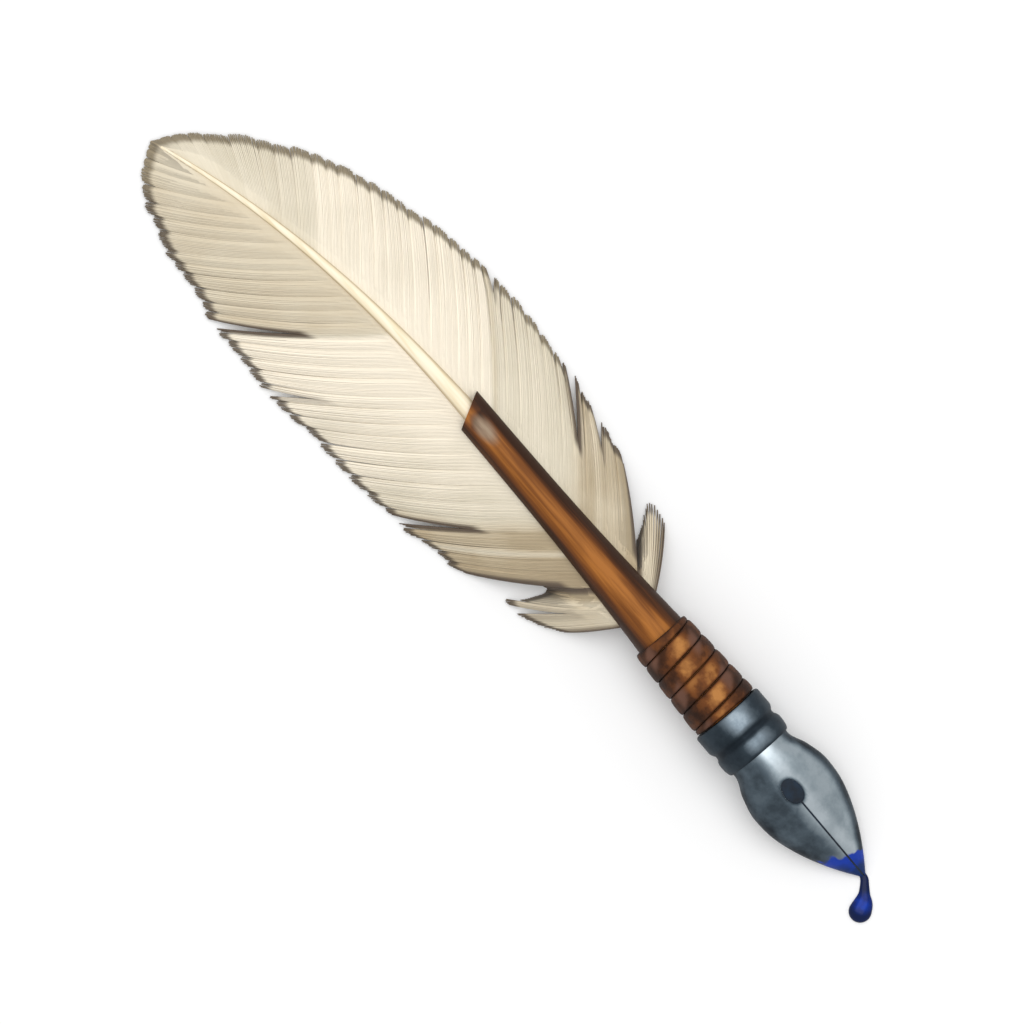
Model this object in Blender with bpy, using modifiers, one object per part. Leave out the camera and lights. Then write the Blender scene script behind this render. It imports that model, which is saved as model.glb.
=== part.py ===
"""A goose feather made into a dip pen: feather, wooden shaft, leather grip, steel ferrule, steel nib and ink.

The pen lies on a flat surface at z = 0. Along the pen, x runs from the nib's point at 0 to the feather's tip.
Everything is modelled in that pen frame under one empty, which then moves the pen over the world's origin.
"""

import math
import random

import bmesh
import bpy
import numpy as np
from mathutils import Matrix, Vector

MM = 0.001
GAP = 0.3 * MM

# Steel ferrule
FERRULE_FRONT = 38.7 * MM
FERRULE_BACK = 50.6 * MM
FERRULE_RADIUS = 9.25 * MM
FERRULE_BORE = 8.35 * MM
FERRULE_SIDES = 36
GROOVE_DEPTH = 0.75 * MM

# The lowest flat of the ferrule rests on the surface, which sets the height of the pen's axis.
AXIS_Z = FERRULE_RADIUS * math.cos(math.pi / FERRULE_SIDES)

# Wooden shaft: distance along the pen and radius there
SHAFT_SIDES = 32
SPIGOT_FRONT = 40.0 * MM
SPIGOT_RADIUS = 7.1 * MM
SHAFT_RADII = [
    (FERRULE_BACK + GAP, 7.6 * MM),
    (63 * MM, 6.95 * MM),
    (76 * MM, 6.3 * MM),
    (88 * MM, 5.65 * MM),
    (100 * MM, 5.1 * MM),
    (114 * MM, 4.7 * MM),
    (130 * MM, 4.5 * MM),
    (146 * MM, 4.4 * MM),
]
SHAFT_END = 143.4 * MM
SCARF_START = 131 * MM
SCARF_EDGE_HEIGHT = 3.05 * MM
END_SKEW = math.radians(28)
KERF_START = 76.6 * MM
KERF_HEIGHT = 1.5 * MM

# Leather thong, wound round the shaft between the ferrule and the foot of the vanes
THONG_WIDTH = 4.3 * MM
THONG_THICKNESS = 0.85 * MM
THONG_PITCH = 4.7 * MM
THONG_TURNS = 6
THONG_STEPS = 20
THONG_POINT_WIDTH = 0.43 * MM

# Steel nib: distance from the point and half-width there
NIB_THICKNESS = 0.55 * MM
NIB_SHANK_RADIUS = FERRULE_BORE - GAP
NIB_BACK = 46.5 * MM
NIB_SHOULDER = 38.0 * MM
NIB_HALF_WIDTHS = [
    (0 * MM, 0.45 * MM),
    (4 * MM, 3.2 * MM),
    (9 * MM, 6.1 * MM),
    (15 * MM, 8.8 * MM),
    (21 * MM, 10.6 * MM),
    (27 * MM, 11.1 * MM),
    (33 * MM, 9.9 * MM),
    (NIB_SHOULDER, NIB_SHANK_RADIUS),
    (NIB_BACK, NIB_SHANK_RADIUS),
]
NIB_POINT_TOP = 1.15 * MM
NIB_POINT_EDGE = 0.75 * MM
NIB_LENGTHWISE = 22
NIB_ACROSS = 18
BREATHER_AT = 27 * MM
BREATHER_HALF_WIDTH = 2.3 * MM
BREATHER_HALF_LENGTH = 3.3 * MM
SLIT_WIDTH = 0.45 * MM

# Quill: round barrel in the shaft, then the tapering rachis that carries the vanes
QUILL_BASE = 66 * MM
QUILL_RADIUS = 2.2 * MM
RACHIS_TIP = 236 * MM
RACHIS_TIP_RADIUS = 0.45 * MM
FEATHER_TIP = 240 * MM
BEND_START = 130 * MM
DROP_START = 140 * MM
TIP_SWEEP = 16 * MM
TIP_HEIGHT = 1.1 * MM

# Vanes: where a barb leaves the rachis, its length, and its angle from the pen's axis in degrees
VANE_BASE = 79 * MM
LEFT_BARBS = [
    (VANE_BASE, 20.5 * MM, 61),
    (81 * MM, 26.5 * MM, 56),
    (83 * MM, 30 * MM, 52),
    (84.6 * MM, 24.5 * MM, 51),
    (86.4 * MM, 20 * MM, 50),
    (88.6 * MM, 19 * MM, 50),
    (90.2 * MM, 35 * MM, 50),
    (98 * MM, 38.5 * MM, 50),
    (112 * MM, 42.5 * MM, 50),
    (130 * MM, 44.5 * MM, 50),
    (150 * MM, 45.5 * MM, 50),
    (166 * MM, 44 * MM, 50),
    (182 * MM, 39.5 * MM, 50),
    (195 * MM, 35.5 * MM, 49),
    (206 * MM, 30.8 * MM, 45),
    (216 * MM, 24.3 * MM, 39),
    (226 * MM, 14.8 * MM, 30),
    (RACHIS_TIP, 4.5 * MM, 19),
]
RIGHT_BARBS = [
    (VANE_BASE, 24.5 * MM, 54),
    (80.2 * MM, 27.5 * MM, 46),
    (81.4 * MM, 21 * MM, 42.5),
    (82.6 * MM, 18 * MM, 41),
    (84.2 * MM, 31.5 * MM, 41),
    (90 * MM, 34.5 * MM, 40.5),
    (100 * MM, 38 * MM, 40.5),
    (115 * MM, 41 * MM, 40.5),
    (130 * MM, 40.5 * MM, 40.5),
    (150 * MM, 37 * MM, 40.5),
    (165 * MM, 33.8 * MM, 40.5),
    (180 * MM, 29.4 * MM, 40.5),
    (195 * MM, 24.5 * MM, 38.5),
    (206 * MM, 20.5 * MM, 33.5),
    (216 * MM, 16.6 * MM, 21),
    (226 * MM, 11.8 * MM, 5),
    (RACHIS_TIP, 4.5 * MM, -19),
]
VANE_THICKNESS = 0.7 * MM
VANE_EDGE_Z = 0.62 * MM
VANE_CAMBER = 1.35
KERF_REACH = 6.6 * MM
RACHIS_REACH = 2 * MM
RELIEF_RISE = 6 * MM
RELIEF_FADE = 30 * MM
BARB_CURL = 0.14
BARB_STEPS = [0.0, 0.13, 0.3, 0.5, 0.7, 0.87, 1.0]

# Locks: groups of barbs with a scalloped end and a shallow furrow between neighbours
LOCKS = 34
LOCK_SCALLOP = 0.035
LOCK_RELIEF = 0.16 * MM
LOCK_SEED = 7
TIP_TUFT = 6 * MM

# Splits: where the barbs part and at which share of the barb the parting starts, on each side
SPLIT_ROOT = 0.5 * MM
SPLIT_FAN = 0.9
SPLIT_CLEAR = 2.2 * MM
LEFT_SPLITS = [(82.2 * MM, 0.5), (89.4 * MM, 0.5), (107 * MM, 0.5), (146 * MM, 0.7), (168 * MM, 0.5)]
RIGHT_SPLITS = [(83.4 * MM, 0.5), (94.5 * MM, 0.7), (104 * MM, 0.5), (133 * MM, 0.87)]

# Ink that has run off the point: place, half-width and height of the bead along its run
INK_HEIGHT = 0.55
INK_RUN = [
    (0.9 * MM, 0.0 * MM, 0.75 * MM),
    (-0.6 * MM, 0.4 * MM, 1.0 * MM),
    (-2.0 * MM, 1.5 * MM, 1.15 * MM),
    (-3.6 * MM, 3.0 * MM, 1.5 * MM),
    (-5.0 * MM, 4.4 * MM, 2.4 * MM),
    (-5.9 * MM, 5.9 * MM, 2.75 * MM),
    (-6.1 * MM, 7.3 * MM, 2.2 * MM),
    (-5.9 * MM, 8.6 * MM, 0.8 * MM),
]


def clear_scene():
    for obj in list(bpy.data.objects):
        bpy.data.objects.remove(obj, do_unlink=True)


def new_collection(name):
    collection = bpy.data.collections.new(name)
    bpy.context.scene.collection.children.link(collection)
    return collection


def material(name, colour, roughness, metallic=0.0):
    made = bpy.data.materials.new(name)
    made.use_nodes = True
    shader = made.node_tree.nodes["Principled BSDF"]
    shader.inputs["Base Color"].default_value = (*colour, 1.0)
    shader.inputs["Roughness"].default_value = roughness
    shader.inputs["Metallic"].default_value = metallic
    return made


def row_slope(rows, column, i):
    """Slope of a table's curve at row i: level at a peak, and not so steep that it overshoots a row."""
    rises = [(after[column] - before[column]) / (after[0] - before[0]) for before, after in zip(rows, rows[1:])]
    rises = rises[max(0, i - 1):i + 1]
    if min(rises) * max(rises) <= 0:
        return 0.0
    middle = sum(rises) / len(rises)
    gentlest = min(rises, key=abs)
    return middle if abs(middle) < 3 * abs(gentlest) else 3 * gentlest


def smooth_table(rows, column, x):
    """Smooth curve through a table's rows, read at x: a cubic from each row to the next."""
    if x <= rows[0][0]:
        return rows[0][column]
    if x >= rows[-1][0]:
        return rows[-1][column]
    i = max(k for k, row in enumerate(rows) if row[0] <= x)
    step = rows[i + 1][0] - rows[i][0]
    t = (x - rows[i][0]) / step
    rise = t * t * (3 - 2 * t)
    leave = t * (1 - t) ** 2 * row_slope(rows, column, i) * step
    arrive = t * t * (t - 1) * row_slope(rows, column, i + 1) * step
    return rows[i][column] * (1 - rise) + rows[i + 1][column] * rise + leave + arrive


def ease(t):
    """0 below 0, 1 above 1, and a smooth S between."""
    t = min(1.0, max(0.0, t))
    return t * t * (3 - 2 * t)


def add_object(name, mesh, collection, look=None):
    obj = bpy.data.objects.new(name, mesh)
    collection.objects.link(obj)
    if look:
        mesh.materials.append(look)
    return obj


def smooth_shade(mesh, degrees=35):
    mesh.shade_smooth()
    mesh.set_sharp_from_angle(angle=math.radians(degrees))


def mesh_of(obj):
    """The object's evaluated shape as a mesh of its own, with loose caps welded."""
    bpy.context.view_layer.update()
    graph = bpy.context.evaluated_depsgraph_get()
    mesh = bpy.data.meshes.new_from_object(obj.evaluated_get(graph))
    shape = bmesh.new()
    shape.from_mesh(mesh)
    bmesh.ops.remove_doubles(shape, verts=shape.verts, dist=1e-6)
    bmesh.ops.recalc_face_normals(shape, faces=shape.faces)
    shape.to_mesh(mesh)
    shape.free()
    return mesh


def profile_mesh(name, profile, sides, closed):
    """Line through (distance along, radius) pairs, turned half a side so that a flat faces down."""
    turn = math.pi / sides
    points = [(r * math.cos(turn), r * math.sin(turn), along) for along, r in profile]
    edges = [(i, i + 1) for i in range(len(points) - 1)]
    if closed:
        edges.append((len(points) - 1, 0))
    mesh = bpy.data.meshes.new(name)
    mesh.from_pydata(points, edges, [])
    return mesh


def turned(name, profile, sides, collection, look, closed=False):
    """Turned piece on the pen's axis. Its own z axis is laid along the pen."""
    obj = add_object(name, profile_mesh(name, profile, sides, closed), collection, look)
    screw = obj.modifiers.new("turn", "SCREW")
    screw.steps = sides
    screw.render_steps = sides
    screw.use_merge_vertices = True
    screw.merge_threshold = 0.00001
    screw.use_smooth_shade = True
    obj.rotation_euler = (0, math.pi / 2, 0)
    obj.location = (0, 0, AXIS_Z)
    return obj


def cutter(obj):
    obj.hide_render = True
    obj.display_type = "WIRE"
    return obj


def box_cutter(name, low, high, collection, turn=Matrix.Identity(4)):
    """Box between two corners of the pen frame, turned about its first corner."""
    mesh = bpy.data.meshes.new(name)
    shape = bmesh.new()
    bmesh.ops.create_cube(shape, size=1)
    size = Vector(high) - Vector(low)
    for vert in shape.verts:
        corner = Vector((vert.co.x + 0.5, vert.co.y + 0.5, vert.co.z + 0.5))
        vert.co = Vector(low) + turn @ Vector((corner.x * size.x, corner.y * size.y, corner.z * size.z))
    shape.to_mesh(mesh)
    shape.free()
    return cutter(add_object(name, mesh, collection))


def cylinder_cutter(name, radius, low, length, axis, sides, collection):
    """Cylinder from its lower centre along the pen's x or z axis."""
    mesh = bpy.data.meshes.new(name)
    shape = bmesh.new()
    bmesh.ops.create_cone(shape, cap_ends=True, segments=sides, radius1=radius, radius2=radius, depth=length)
    bmesh.ops.translate(shape, verts=shape.verts, vec=(0, 0, length / 2))
    shape.to_mesh(mesh)
    shape.free()
    obj = cutter(add_object(name, mesh, collection))
    obj.location = low
    if axis == "x":
        obj.rotation_euler = (0, math.pi / 2, 0)
    return obj


def boolean(obj, tool, operation):
    modifier = obj.modifiers.new(tool.name, "BOOLEAN")
    modifier.operation = operation
    modifier.object = tool
    modifier.solver = "EXACT"


def sheet(name, along, across, place, collection, look):
    """Open surface: a grid of along by across cells, its points placed by a formula of two shares, 0 to 1.

    Where the formula gives no point, the cells round it are left out. Points that meet are welded."""
    mesh = bpy.data.meshes.new(name)
    shape = bmesh.new()
    bmesh.ops.create_grid(shape, x_segments=along, y_segments=across, size=0.5)
    left_out = []
    for vert in shape.verts:
        point = place(vert.co.x + 0.5, vert.co.y + 0.5)
        if point is None:
            left_out.append(vert)
        else:
            vert.co = point
    bmesh.ops.delete(shape, geom=left_out, context="VERTS")
    bmesh.ops.remove_doubles(shape, verts=shape.verts, dist=1e-6)
    shape.to_mesh(mesh)
    shape.free()
    return add_object(name, mesh, collection, look)


def solidify(obj, thickness, offset):
    modifier = obj.modifiers.new("thickness", "SOLIDIFY")
    modifier.thickness = thickness
    modifier.offset = offset


# Shaft, ferrule and wrap


def make_shaft(collection, cutters, look):
    """Turned wood: spigot, long taper, scarfed end, bore for the quill, side kerfs for the vanes."""
    profile = [(SHAFT_RADII[-1][0], 0)]
    profile += [(along, radius) for along, radius in reversed(SHAFT_RADII)]
    profile += [(SHAFT_RADII[0][0], SPIGOT_RADIUS), (SPIGOT_FRONT, SPIGOT_RADIUS), (SPIGOT_FRONT, 0)]
    shaft = turned("shaft", profile, SHAFT_SIDES, collection, look)

    bore_radius = QUILL_RADIUS + GAP + 0.05 * MM
    bore = cylinder_cutter(
        "quill_bore", bore_radius, (QUILL_BASE - GAP, 0, AXIS_Z), 90 * MM, "x", 16, cutters)
    kerf = box_cutter(
        "kerf",
        (KERF_START, -20 * MM, AXIS_Z - KERF_HEIGHT / 2),
        (160 * MM, 20 * MM, AXIS_Z + KERF_HEIGHT / 2),
        cutters,
    )
    end_cut = box_cutter(
        "end_cut",
        (SHAFT_END, -40 * MM, -10 * MM),
        (SHAFT_END + 40 * MM, 40 * MM, 30 * MM),
        cutters,
    )
    skew_about_axis = Matrix.Translation((SHAFT_END, 0, 0)) @ Matrix.Rotation(END_SKEW, 4, "Z")
    end_cut.data.transform(skew_about_axis @ Matrix.Translation((-SHAFT_END, 0, 0)))
    scarf_slope = math.atan2(
        SHAFT_RADII[-1][1] - SCARF_EDGE_HEIGHT, SHAFT_END - SCARF_START)
    scarf = box_cutter(
        "scarf",
        (SCARF_START, -20 * MM, AXIS_Z + SHAFT_RADII[-1][1] + 0.1 * MM),
        (SCARF_START + 60 * MM, 20 * MM, AXIS_Z + 40 * MM),
        cutters,
        Matrix.Rotation(scarf_slope, 4, "Y"),
    )
    for tool in (bore, kerf, end_cut, scarf):
        boolean(shaft, tool, "DIFFERENCE")
    return shaft


def make_ferrule(collection, look):
    """Steel collar: a broad rear band, a groove, and a front band rounded over the nib's shank."""
    r = FERRULE_RADIUS
    outside = [
        (FERRULE_BACK, r - 0.5 * MM),
        (FERRULE_BACK - 0.5 * MM, r),
        (45.6 * MM, r),
        (45.0 * MM, r - 0.25 * MM),
        (44.4 * MM, r - GROOVE_DEPTH),
        (43.6 * MM, r - GROOVE_DEPTH),
        (43.0 * MM, r - 0.3 * MM),
        (42.2 * MM, r - 0.1 * MM),
        (40.0 * MM, r - 0.25 * MM),
        (FERRULE_FRONT, r - 0.65 * MM),
    ]
    inside = [
        (FERRULE_FRONT, FERRULE_BORE),
        (NIB_BACK + GAP, FERRULE_BORE),
        (NIB_BACK + GAP, SPIGOT_RADIUS + GAP),
        (FERRULE_BACK, SPIGOT_RADIUS + GAP),
    ]
    return turned("ferrule", outside + inside, FERRULE_SIDES, collection, look, closed=True)


def shaft_radius(along):
    return smooth_table(SHAFT_RADII, 1, along)


def make_wrap(collection, look):
    """One leather thong wound in a helix on the shaft. Its pointed ends fill out the end turns."""
    start = FERRULE_BACK + GAP
    end = start + THONG_PITCH * (THONG_TURNS - 1)
    first_turn = (THONG_PITCH - THONG_WIDTH + THONG_POINT_WIDTH) / THONG_PITCH
    last_turn = THONG_TURNS - THONG_POINT_WIDTH / THONG_PITCH
    section = [(-1, 0), (-1, 0.5), (-0.5, 1), (0.5, 1), (1, 0.5), (1, 0), (-1, 0)]

    def place(lengthwise, across):
        turn = first_turn + lengthwise * (last_turn - first_turn)
        side, height = section[round(across * (len(section) - 1))]
        near = max(start, start + THONG_PITCH * (turn - 1))
        far = min(end, start + THONG_PITCH * (turn - 1) + THONG_WIDTH)
        width = far - near
        along = (near + far + side * width) / 2
        radius = shaft_radius(along) + GAP + height * THONG_THICKNESS * min(1, 0.4 + width / THONG_WIDTH)
        angle = turn * math.tau
        return Vector((along, radius * math.sin(angle), AXIS_Z - radius * math.cos(angle)))

    wrap = sheet("wrap", THONG_TURNS * THONG_STEPS, len(section) - 1, place, collection, look)
    shape = bmesh.new()
    shape.from_mesh(wrap.data)
    bmesh.ops.holes_fill(shape, edges=[edge for edge in shape.edges if edge.is_boundary], sides=0)
    bmesh.ops.recalc_face_normals(shape, faces=shape.faces)
    shape.to_mesh(wrap.data)
    shape.free()
    smooth_shade(wrap.data)
    return wrap


# Nib


def nib_point(lengthwise, across):
    """Point of the nib's outer surface: an arc across, lower and narrower towards the point."""
    along = NIB_BACK * lengthwise
    half_width = smooth_table(NIB_HALF_WIDTHS, 1, along)
    run_out = max(0.0, (NIB_SHOULDER - along) / NIB_SHOULDER)
    crown_top = AXIS_Z + NIB_SHANK_RADIUS
    crown = crown_top - (crown_top - NIB_POINT_TOP) * run_out ** 1.6
    edge_top = AXIS_Z + 0.4 * MM
    edge = edge_top - (edge_top - NIB_POINT_EDGE) * (0.35 * run_out + 0.65 * ease(run_out))
    angle = (across - 0.5) * math.pi
    return Vector((along, half_width * math.sin(angle), edge + (crown - edge) * math.cos(angle)))


def make_nib(collection, cutters, look):
    """Sheet steel, ground thinner towards the point, with an oval breather hole and a slit to the point."""
    nib = sheet("nib", NIB_LENGTHWISE, NIB_ACROSS, nib_point, collection, look)
    solidify(nib, NIB_THICKNESS, -1)
    grind = nib.vertex_groups.new(name="grind")
    for vert in nib.data.vertices:
        half_width = smooth_table(NIB_HALF_WIDTHS, 1, vert.co.x)
        grind.add([vert.index], min(1.0, half_width / (4 * NIB_THICKNESS)), "REPLACE")
    nib.modifiers["thickness"].vertex_group = grind.name
    breather = cylinder_cutter(
        "breather", BREATHER_HALF_WIDTH, (BREATHER_AT, 0, AXIS_Z), 20 * MM, "z", 16, cutters)
    breather.data.transform(Matrix.Diagonal((BREATHER_HALF_LENGTH / BREATHER_HALF_WIDTH, 1, 1, 1)))
    slit = box_cutter(
        "slit",
        (-5 * MM, -SLIT_WIDTH / 2, -5 * MM),
        (BREATHER_AT, SLIT_WIDTH / 2, 25 * MM),
        cutters,
    )
    boolean(nib, breather, "DIFFERENCE")
    boolean(nib, slit, "DIFFERENCE")
    return nib


# Feather


def rachis_point(along):
    """Centre of the rachis: straight in the shaft, then swept to the left and down to the surface."""
    bend = max(0.0, (along - BEND_START) / (FEATHER_TIP - BEND_START))
    drop = max(0.0, (along - DROP_START) / (FEATHER_TIP - DROP_START))
    return Vector((along, TIP_SWEEP * bend ** 2.5, AXIS_Z - (AXIS_Z - TIP_HEIGHT) * drop ** 1.4))


def rachis_radius(along):
    taper = max(0.0, (along - SHAFT_END) / (RACHIS_TIP - SHAFT_END))
    return QUILL_RADIUS + (RACHIS_TIP_RADIUS - QUILL_RADIUS) * taper ** 0.85


def make_quill(cutters):
    """Barrel and rachis: one tapering tube along the rachis line."""
    curve = bpy.data.curves.new("quill", "CURVE")
    curve.dimensions = "3D"
    curve.bevel_depth = 1.0
    curve.bevel_resolution = 3
    curve.use_fill_caps = True
    stations = [QUILL_BASE, SHAFT_END] + list(np.linspace(SHAFT_END, RACHIS_TIP + 1.5 * MM, 16))[1:]
    spline = curve.splines.new("POLY")
    spline.points.add(len(stations) - 1)
    for point, along in zip(spline.points, stations):
        point.co = (*rachis_point(along), 1)
        point.radius = rachis_radius(along)
    tube = add_object("quill_tube", curve, cutters)
    mesh = mesh_of(tube)
    bpy.data.objects.remove(tube)
    return cutter(add_object("quill", mesh, cutters))


def lock_columns():
    """Columns of the vanes from foot to tip: place, relief, fan, and per side the reach and the split."""
    chance = random.Random(LOCK_SEED)
    widths = [chance.uniform(0.75, 1.25) for _ in range(LOCKS)]
    scale = (RACHIS_TIP - VANE_BASE) / sum(widths)
    columns = []
    place = VANE_BASE
    for width in widths:
        ends = [1 + chance.uniform(-0.5, 0.5) * LOCK_SCALLOP for _ in range(2)]
        furrow = [1 - LOCK_SCALLOP] * 2
        columns.append({"place": place, "relief": -LOCK_RELIEF, "reach": furrow})
        columns.append({"place": place + width * scale * 0.55, "relief": LOCK_RELIEF, "reach": ends})
        place += width * scale
    columns = [column for column in columns if column["place"] < RACHIS_TIP - TIP_TUFT]
    columns.append({"place": RACHIS_TIP, "relief": 0, "reach": [1, 1]})

    for side, splits in enumerate((LEFT_SPLITS, RIGHT_SPLITS)):
        for at, start in splits:
            columns = [column for column in columns if abs(column["place"] - at) > SPLIT_CLEAR]
            for lip in (-1, 0, 1):
                column = {"place": at + lip * SPLIT_ROOT, "relief": 0, "reach": [1, 1]}
                if lip:
                    column["fan"] = {side: lip}
                else:
                    column["split"] = {side: start}
                columns.append(column)
    return sorted(columns, key=lambda column: column["place"])


def vane_point(column, side, share):
    """Point a share of the way along the barb at this column, on the left (side 0) or the right (side 1)."""
    if share > column.get("split", {}).get(side, 1):
        return None
    place = column["place"]
    barbs = RIGHT_BARBS if side else LEFT_BARBS
    full = smooth_table(barbs, 1, place)
    lean = math.radians(smooth_table(barbs, 2, place))
    out = share * column["reach"][side]
    angle = lean * (1 - BARB_CURL * (out - 0.5))
    root = rachis_point(place)
    along = root.x + out * full * math.cos(angle)
    aside = out * full * math.sin(angle)
    spread = column.get("fan", {}).get(side, 0) * SPLIT_FAN * MM * out
    along += spread * math.sin(angle)
    aside -= spread * math.cos(angle)
    flat = KERF_REACH + (RACHIS_REACH - KERF_REACH) * ease((place - 118 * MM) / (30 * MM))
    level = min(0.5, flat / (full * max(0.3, abs(math.sin(lean)))))
    fall = max(0.0, (out - level) / (1 - level))
    height = root.z - (root.z - VANE_EDGE_Z) * fall ** VANE_CAMBER
    height += column["relief"] * ease(fall * full / RELIEF_RISE) * ease((RACHIS_TIP - place) / RELIEF_FADE)
    return Vector((along, root.y + (-aside if side else aside), height))


def make_feather(collection, cutters, look):
    """Both vanes are one sheet of locks across the rachis, given its thickness and joined to the quill."""
    columns = lock_columns()
    steps_each_side = len(BARB_STEPS) - 1

    def place(lengthwise, across):
        column = columns[round(lengthwise * (len(columns) - 1))]
        step = round((across - 0.5) * 2 * steps_each_side)
        return vane_point(column, 0 if step > 0 else 1, BARB_STEPS[abs(step)])

    feather = sheet("feather", len(columns) - 1, 2 * steps_each_side, place, collection, look)
    solidify(feather, VANE_THICKNESS, 0)
    boolean(feather, make_quill(cutters), "UNION")
    return feather


# Ink


def make_ink(collection, cutters, look):
    """Bead of ink from the nib's point to the drop: a round run pressed flat and cut off at the surface."""
    curve = bpy.data.curves.new("ink_run", "CURVE")
    curve.dimensions = "3D"
    curve.bevel_depth = 1.0
    curve.bevel_resolution = 2
    curve.use_fill_caps = True
    rows = [(i, *row) for i, row in enumerate(INK_RUN)]
    spline = curve.splines.new("POLY")
    steps = 18
    spline.points.add(steps)
    for i, point in enumerate(spline.points):
        t = i / steps * (len(rows) - 1)
        point.co = (smooth_table(rows, 1, t), smooth_table(rows, 2, t), 0, 1)
        point.radius = smooth_table(rows, 3, t)
    tube = add_object("ink_run", curve, cutters)
    mesh = mesh_of(tube)
    bpy.data.objects.remove(tube)
    mesh.transform(Matrix.Diagonal((1, 1, INK_HEIGHT, 1)))
    ink = add_object("ink_drip", mesh, collection, look)
    below = box_cutter("below_surface", (-20 * MM, -20 * MM, -10 * MM), (20 * MM, 20 * MM, 0), cutters)
    boolean(ink, below, "DIFFERENCE")
    return ink


def centre_over_origin(pen, pieces):
    """Moves the pen so that the middle of its footprint is at the world's origin."""
    bpy.context.view_layer.update()
    graph = bpy.context.evaluated_depsgraph_get()
    corners = []
    for piece in pieces:
        evaluated = piece.evaluated_get(graph)
        corners += [evaluated.matrix_world @ vert.co for vert in evaluated.data.vertices]
    for axis in range(2):
        low = min(corner[axis] for corner in corners)
        high = max(corner[axis] for corner in corners)
        pen.location[axis] = -(low + high) / 2


def main():
    clear_scene()
    collection = new_collection("goose_quill_pen")
    cutters = new_collection("cutters")
    pieces = [
        make_feather(collection, cutters, material("feather", (0.86, 0.78, 0.62), 0.75)),
        make_shaft(collection, cutters, material("wood", (0.27, 0.11, 0.035), 0.45)),
        make_wrap(collection, material("leather", (0.12, 0.045, 0.018), 0.6)),
        make_ferrule(collection, material("ferrule_steel", (0.16, 0.21, 0.25), 0.3, 1.0)),
        make_nib(collection, cutters, material("nib_steel", (0.27, 0.33, 0.37), 0.28, 1.0)),
        make_ink(collection, cutters, material("ink", (0.015, 0.04, 0.22), 0.12)),
    ]
    pen = bpy.data.objects.new("pen", None)
    collection.objects.link(pen)
    for obj in list(collection.objects) + list(cutters.objects):
        if obj is not pen:
            obj.parent = pen
    centre_over_origin(pen, pieces)


main()
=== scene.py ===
# %% [markdown]
# # A goose quill dip pen
#
# The pen is a goose flight feather whose quill sits in a bored wooden shaft, with a leather thong for a grip,
# a steel ferrule, a steel nib and a little spilt ink. A imported CAD model already fixes every place and size.
# This lesson puts the fine surface on it: barbs one by one, wood grain, leather, aged steel and wet ink.
#
# All the pieces are made in a "pen frame". In it x runs from the nib's point to the feather's tip, y points
# to the left of someone who looks along the pen from its point, and z is the height above the surface.

# %% Load the imported model
import math
import random

import bmesh
import bpy
import numpy as np
from mathutils import Matrix, Vector


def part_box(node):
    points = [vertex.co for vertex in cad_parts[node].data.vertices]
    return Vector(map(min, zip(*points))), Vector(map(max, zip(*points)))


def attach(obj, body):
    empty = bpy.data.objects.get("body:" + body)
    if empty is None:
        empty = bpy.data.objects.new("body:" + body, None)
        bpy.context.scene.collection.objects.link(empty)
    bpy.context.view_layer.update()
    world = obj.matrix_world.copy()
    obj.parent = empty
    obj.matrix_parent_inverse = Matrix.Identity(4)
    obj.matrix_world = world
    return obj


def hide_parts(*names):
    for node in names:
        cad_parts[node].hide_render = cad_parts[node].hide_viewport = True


MM = 0.001


def in_mm(*values):
    return [round(value / MM, 1) for value in values]


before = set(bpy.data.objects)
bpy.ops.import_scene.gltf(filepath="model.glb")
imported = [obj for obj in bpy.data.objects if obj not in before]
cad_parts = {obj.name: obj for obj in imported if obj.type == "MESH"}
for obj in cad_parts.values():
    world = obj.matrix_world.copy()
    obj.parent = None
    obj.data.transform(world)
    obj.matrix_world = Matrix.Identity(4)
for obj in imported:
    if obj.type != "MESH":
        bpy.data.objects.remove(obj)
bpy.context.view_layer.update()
print("nodes:", ", ".join(sorted(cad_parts)))

# %% [markdown]
# ## Where the pen lies
#
# The ferrule is turned, so its box gives the pen's axis exactly: the middle of the box in y and z. Its front
# edge is a known distance from the nib's point, and that gives the start of x. One vector then carries every
# finished mesh from the pen frame to its place.

# %% The pen frame
FERRULE_FRONT = 38.7 * MM
FERRULE_BACK = 50.6 * MM
GAP = 0.3 * MM  # left between any two pieces
ferrule_low, ferrule_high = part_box("ferrule")
AXIS_Z = (ferrule_low.z + ferrule_high.z) / 2
pen_place = Vector((ferrule_low.x - FERRULE_FRONT, (ferrule_low.y + ferrule_high.y) / 2, 0))
print("nib point at", in_mm(*pen_place), "mm, axis height", *in_mm(AXIS_Z), "mm")

# %% [markdown]
# ## Camera
#
# The pen lies flat and is seen from straight above, with its point at the lower right. A long lens far away
# keeps the picture as flat as a drawing. The distance follows from the width of surface that it shows.

# %% Camera above the pen
PICTURE_WIDTH = 240 * MM
PICTURE_MIDDLE = Vector((118.8, 7.75, 5)) * MM  # in the pen frame
PEN_TURN = math.radians(49.67)
scene = bpy.context.scene
lens = bpy.data.cameras.new("camera")
lens.lens = 200
lens.sensor_width = 36
camera = bpy.data.objects.new("camera", lens)
scene.collection.objects.link(camera)
distance = PICTURE_WIDTH * lens.lens / lens.sensor_width
camera.location = pen_place + PICTURE_MIDDLE + Vector((0, 0, distance))
camera.rotation_euler = (0, 0, math.pi + PEN_TURN)
scene.camera = camera
print("camera height", round(camera.location.z, 3), "m")

# %% [markdown]
# ## Node helpers
#
# Materials and Geometry Nodes are both trees of nodes. Two small helpers keep the trees readable: `add_node`
# makes a node and fills its inputs by name or number, and `maths` makes a Math node and gives back its result.

# %% Helpers for node trees


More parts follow.
